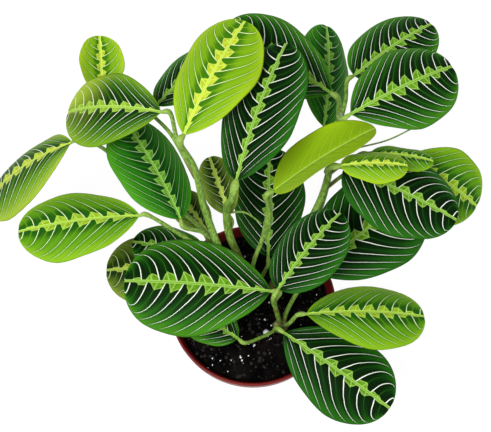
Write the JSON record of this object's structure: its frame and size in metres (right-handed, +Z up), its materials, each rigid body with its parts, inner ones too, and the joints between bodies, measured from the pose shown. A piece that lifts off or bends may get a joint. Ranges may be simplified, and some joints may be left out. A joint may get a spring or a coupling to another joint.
{
  "type": "potted prayer plant",
  "caption": "Low clump of broad oval leaves with a herringbone midrib and pale curved veins, on thin stems in a small round tapered plastic pot of dark soil",
  "frame": {"origin": "centre of the pot underside, on the surface the pot stands on", "axes": "+Z up, -Y towards the side the leaves open to, +X to the right seen from -Y; metres"},
  "size_m": [0.3265, 0.2505, 0.1942],
  "materials": {
    "pot": "moulded polypropylene, satin gloss, dark red-brown",
    "soil": "matt, damp black peat mix with white perlite grains",
    "crown": "matt, fibrous brown-green rhizome",
    "stem": "smooth waxy pale green skin",
    "leaf_green": "soft satin leaf, dark green with cream veins and a lime herringbone",
    "leaf_lime": "soft satin leaf, lime with cream veins and dark blotches beside the midrib",
    "leaf_olive": "soft satin older leaf, olive with yellow veins"
  },
  "bodies": {
    "root": {"blade_01": "leaf_lime", "blade_02": "leaf_lime", "blade_03": "leaf_green", "blade_04": "leaf_green", "blade_05": "leaf_lime", "blade_06": "leaf_green", "blade_07": "leaf_olive", "blade_08": "leaf_olive", "blade_09": "leaf_green", "blade_10": "leaf_lime", "blade_11": "leaf_green", "blade_12": "leaf_green", "blade_13": "leaf_green", "blade_14": "leaf_green", "blade_15": "leaf_green", "blade_16": "leaf_green", "blade_17": "leaf_lime", "blade_18": "leaf_lime", "blade_19": "leaf_green", "blade_20": "leaf_lime", "blade_21": "leaf_green", "blade_22": "leaf_green", "blade_23": "leaf_lime", "blade_24": "leaf_green", "blade_25": "leaf_green", "blade_26": "leaf_olive", "blade_27": "leaf_olive", "blade_28": "leaf_lime", "crown": "crown", "petiole_01": "stem", "petiole_04": "stem", "petiole_05": "stem", "petiole_07": "stem", "petiole_25": "stem", "petiole_27": "stem", "pot": "pot", "shoot_back": "stem", "shoot_left": "stem", "shoot_middle": "stem", "shoot_new": "stem", "shoot_right": "stem", "soil": "soil"}
  },
  "joints": []
}
